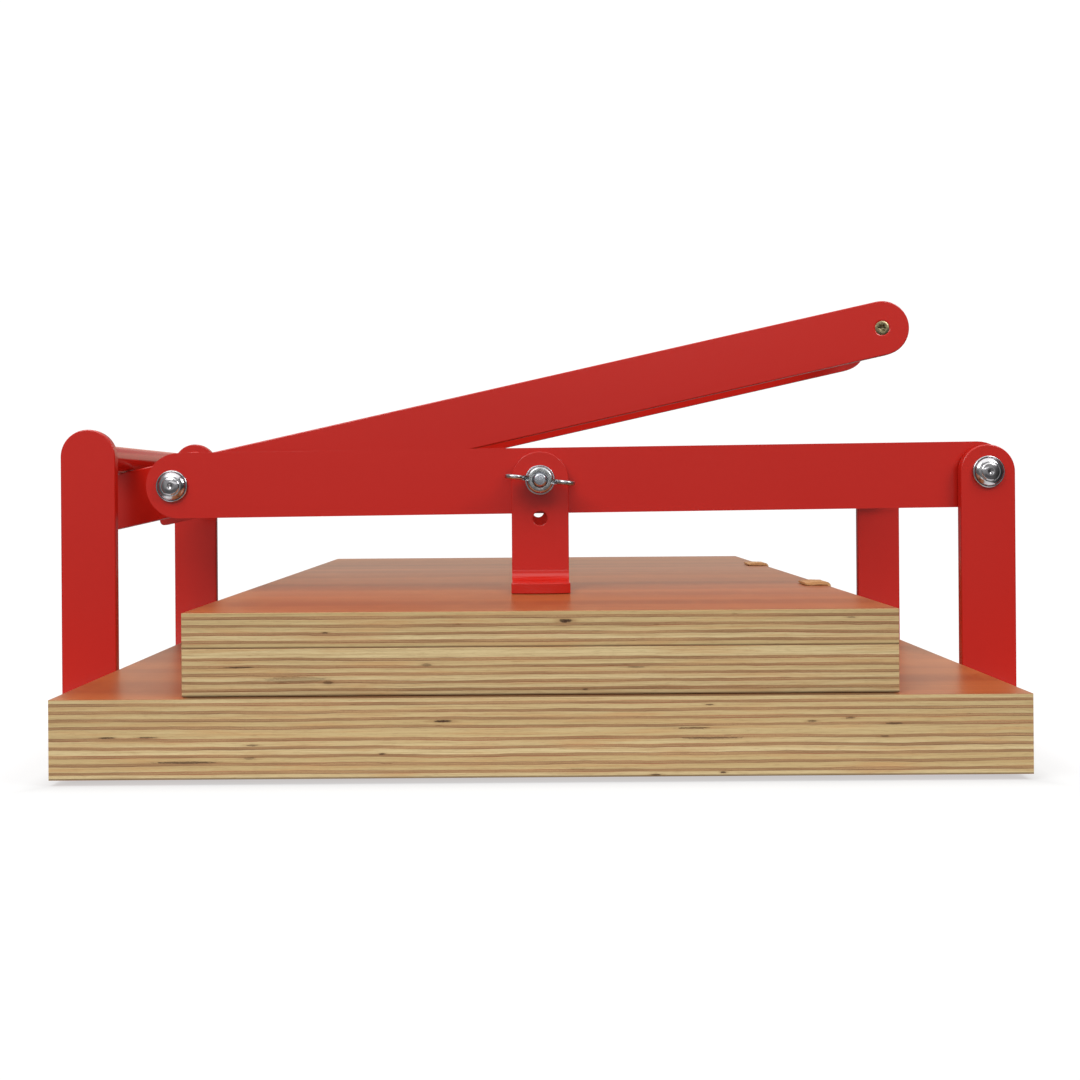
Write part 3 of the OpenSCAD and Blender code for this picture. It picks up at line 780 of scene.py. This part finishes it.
def add_post_bead(bm, post_low, post_high, face, seed):
    """One rippled bead along the foot of a post, on its front (-1) or back (1)."""
    leg, steps, turns = 3.1, 110, 8
    root = 0.5 * MM
    wall = post_high.y if face > 0 else post_low.y
    length = (post_high.x - post_low.x) / MM - 3.0
    before = None
    for k in range(steps + 1):
        run = length * k / steps
        swell = leg + weld_ripple(run, seed)
        taper = min(1, 0.35 + 0.65 * math.sqrt(min(run, length - run) / 2.0))
        x = post_low.x + (1.5 + run) * MM
        ring = [bm.verts.new((x, wall - face * root, post_low.z - root))]
        for i in range(turns + 1):
            angle = math.pi / 2 * i / turns
            reach = swell * taper * (1 - 0.12 * math.sin(2 * angle))
            ring.append(bm.verts.new((x, wall + face * reach * math.cos(angle) * MM,
                                      post_low.z + reach * math.sin(angle) * MM)))
        if before:
            for i in range(len(ring)):
                j = (i + 1) % len(ring)
                bm.faces.new((before[i], before[j], ring[j], ring[i]))
        else:
            bm.faces.new(ring)
        before = ring
    bm.faces.new(before)


def add_post_welds(material):
    """Beads where each post stands on its cross bar, coated over in the same red."""
    bm = bmesh.new()
    for seed, hand in enumerate(("left", "right")):
        for end, side in ENDS:
            low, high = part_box(f"post_{end}_{hand}")
            for face in (-1, 1):
                add_post_bead(bm, low, high, face, seed * 3 + side + face * 5)
    make_piece("rippled_post_welds", bm, material, "frame", ["post_welds"], crease=70)


def bead_radius(tube_r, leg, rise, seed):
    """The radius of a bead round a tube, as a function of the angle. rise goes from 0 at the wall
    to a right angle where the bead meets the tube."""
    def radius(angle):
        swell = leg + weld_ripple(angle * (tube_r + 1), seed)
        return tube_r + swell * math.cos(rise)
    return radius


def add_tube_welds(material):
    """Beads round both ends of the fulcrum tube, where it meets the posts."""
    tube_low, tube_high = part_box("fulcrum_tube")
    tube = (tube_low + tube_high) / 2
    tube_r, leg, height, turns = (tube_high.x - tube_low.x) / 2 / MM, 2.6, 2.8, 8
    for end, side, wall in (("front", 1, tube_low.y), ("rear", -1, tube_high.y)):
        bm = bmesh.new()
        rings = [(tube_r - 0.4, 0)]
        for i in range(turns + 1):
            rise = math.pi / 2 * i / turns
            rings.append((bead_radius(tube_r, leg, rise, side), height * math.sin(rise)))
        rings.append((tube_r - 0.4, height))
        close_rings(bm, ring_stack(bm, rings, 180, out_of_face(side, tube.x, wall, tube.z)))
        make_piece("fulcrum_weld_" + end, bm, material, "frame", crease=70)


def strap_path(board_high, low, high, thick, lift):
    """The middle line of a strap seen from the front, from the upper board's top edge: it lies on
    the board, bulges a little before the edge, bends over it and runs down."""
    top_run = (board_high.x - low.x) / MM
    drop = (board_high.z - low.z) / MM
    hang = (high.x - board_high.x) / MM - thick / 2
    line = [(-top_run, thick / 2), (-top_run * 0.7, thick / 2 + 0.02, 12),
            (-top_run * 0.4, thick / 2 + lift - 0.1, 8), (hang - 0.1, thick / 2 + lift - 0.3, 1.9),
            (hang, -drop)]
    return resample(fillet(line, 10), 0.45)


def close_sheet(bm, grid, last, width_steps):
    """Faces of a strap from its grid of points (along, across, -1 under or 1 on top)."""
    for level in (-1, 1):
        for i in range(last):
            for j in range(width_steps):
                bm.faces.new((grid[i, j, level], grid[i + 1, j, level],
                              grid[i + 1, j + 1, level], grid[i, j + 1, level]))
    for i in range(last):
        for j in (0, width_steps):
            bm.faces.new((grid[i, j, -1], grid[i + 1, j, -1], grid[i + 1, j, 1], grid[i, j, 1]))
    for i in (0, last):
        for j in range(width_steps):
            bm.faces.new((grid[i, j, -1], grid[i, j + 1, -1], grid[i, j + 1, 1], grid[i, j, 1]))


def add_straps(material):
    """Leather hinge straps over the boards' right-hand edge. Their sides wander and curl a little,
    their edges are rounded and their ends are thinned."""
    board_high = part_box("upper_board")[1]
    thick, width_steps, side_gap = 2.0, 24, 0.3
    for seed, (end, _) in enumerate(ENDS):
        node = "hinge_strap_" + end
        low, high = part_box(node)
        path = strap_path(board_high, low, high, thick, 0.35 - 0.1 * seed)
        last = len(path) - 1
        half_width = (high.y - low.y) / 2 / MM - side_gap
        centre_y = (high.y + low.y) / 2
        bm = bmesh.new()
        grid = {}
        for i, point in enumerate(path):
            ahead = path[min(i + 1, last)] - path[max(i - 1, 0)]
            out = Vector((-ahead.y, ahead.x)).normalized()
            run = i / last
            thinned = thick / 2 * min(1, 0.62 + 0.38 * min(run, 1 - run) / 0.07)
            for j in range(width_steps + 1):
                across = 2 * j / width_steps - 1
                wander = 0.12 * math.sin(run * 9 + seed * 2 + (across > 0)) * abs(across)
                y = centre_y + (across * half_width + wander) * MM
                curl = max(0.0, 0.12 * across * across * math.sin(run * 5 + seed)) * (run < 0.45)
                round_off = math.sqrt(max(0.0, 1 - max(0, abs(across) - 0.94) ** 2 / 0.0052))
                under = thinned * (0.72 + 0.28 * round_off)
                over = under + 0.05 * math.sin(run * 23 + across * 4 + seed)
                for level, offset in ((-1, curl - under), (1, curl + over)):
                    spot = point + out * offset
                    grid[i, j, level] = bm.verts.new((board_high.x + spot.x * MM, y,
                                                      board_high.z + spot.y * MM))
        close_sheet(bm, grid, last, width_steps)
        make_piece("leather_" + node, bm, material, "boards", [node], crease=40)


def paint_boards():
    """Plywood on the three boards. The base is two sheets glued together, and the lower board has
    a single thick veneer on top of its plies."""
    boards = {
        "base_board": ([(25.4, 11), (43.0, 9)], [
            (-48.6, 31.2, 4.6, 0.6, 1.0), (-216, 24, 4.5, 0.4, 0.8), (-196, 24, 5, 0.4, 0.7),
            (-177, 11.5, 16, 0.55, 0.75), (-143.5, 19.8, 3, 0.45, 0.6), (-145, 13.4, 3.5, 0.7, 0.4),
            (-79, 15.1, 1.6, 0.5, 0.8), (76, 27, 9, 0.5, 0.6), (84, 22, 16, 0.5, 0.55),
            (90.6, 4.9, 1.4, 0.5, 0.9), (57, 3.9, 2.6, 0.4, 0.8), (135, 30, 2.5, 0.5, 0.6),
            (154, 31.5, 2.4, 0.5, 0.6), (176, 28.6, 4.5, 0.5, 0.7), (171, 22.2, 2.4, 0.5, 0.5),
            (84, 38.6, 2, 0.35, 0.7)]),
        "lower_board": ([(64.2, 11), (67.3, 1)], [
            (-151, 57.9, 7.5, 0.4, 0.8), (-106.5, 50, 2.8, 0.8, 0.6), (-122, 51.6, 17, 1.6, 0.3),
            (-57, 58.6, 2.5, 0.8, 0.45), (47.6, 56.8, 5, 0.4, 0.5), (22.5, 45.8, 1.6, 0.4, 0.8)]),
        "upper_board": ([(85.3, 9)], [
            (12.8, 80.2, 3.2, 0.9, 1.0), (-108, 75, 1.8, 0.4, 0.7), (156, 81, 2.5, 0.4, 0.4)]),
    }
    over_low, over_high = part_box("lower_board")
    for seed, (name, (sheets, marks)) in enumerate(boards.items(), start=1):
        low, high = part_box(name)
        # the base's film is painted darker just in front of the lower board, as painted shade at that
        # joint
        shaded_joint_strip = (over_high.x / MM, over_low.y / MM + 1) if name == "base_board" else None
        paint(name, plywood(name, low.z / MM, high.z / MM, sheets, marks, seed, shaded_joint_strip))


def soften_cad_nodes():
    """Rounds the edges of the boards, flat bars, bent feet, tubes, washers and shafts."""
    shading = plain_shading()
    soften_edges(("base_board", "lower_board", "upper_board"), shading, 0.3, 2)
    soften_edges(("arm_front", "arm_rear", "lever_side_front", "lever_side_rear", "post_front_left",
                  "post_front_right", "post_rear_left", "post_rear_right", "cross_bar_front",
                  "cross_bar_rear"), shading, 0.8)
    soften_edges(("press_foot_front", "press_foot_rear"), shading, 0.9)
    soften_edges(("fulcrum_tube", "arm_spacer_tube", "pin_spacer_front", "pin_spacer_rear",
                  "lever_spacer_tube", "tail_tie_bar", "handle_rod", "pivot_washers",
                  "foot_washer_front", "foot_washer_rear", "pivot_shaft", "lever_pin"),
                 shading, 0.3, 2)


def build():
    """Materials on the CAD nodes, and the pieces that take the place of the plain ones."""
    red = red_powder_coat()
    chrome = plated_metal("chrome_cap", srgb(196, 194, 196), srgb(182, 180, 184), 0.14, 0.20, 0.001)
    casting = plated_metal("zinc_casting", srgb(196, 198, 200), srgb(158, 160, 160), 0.20, 0.34, 0.012)
    steel = plated_metal("bright_steel", srgb(202, 205, 212), srgb(176, 179, 186), 0.18, 0.30, 0.004)
    yellow = plated_metal("yellow_zinc", srgb(168, 154, 118), srgb(136, 126, 96), 0.24, 0.36, 0.006)
    leather, rubber = tan_leather(), black_rubber()
    looks = {"red_powder_coat": red, "chrome_cap": chrome, "zinc_casting": casting,
             "bright_steel": steel, "yellow_zinc": yellow, "tan_leather": leather,
             "black_rubber": rubber}
    for part in frame["record"]["subparts"]:
        if part["material_slot"] in looks:
            paint(part["node"], looks[part["material_slot"]])
    paint_boards()
    soften_cad_nodes()
    add_caps(chrome)
    for end, side in ENDS:
        add_wing_nut(end, side, casting)
        add_foot_bolt(end, side, steel)
        add_handle_screw(end, side, yellow)
    add_base_screws(steel)
    add_rubber_feet(rubber)
    add_post_welds(red)
    add_tube_welds(red)
    add_straps(leather)


add_camera()
add_floor()
add_studio()
build()
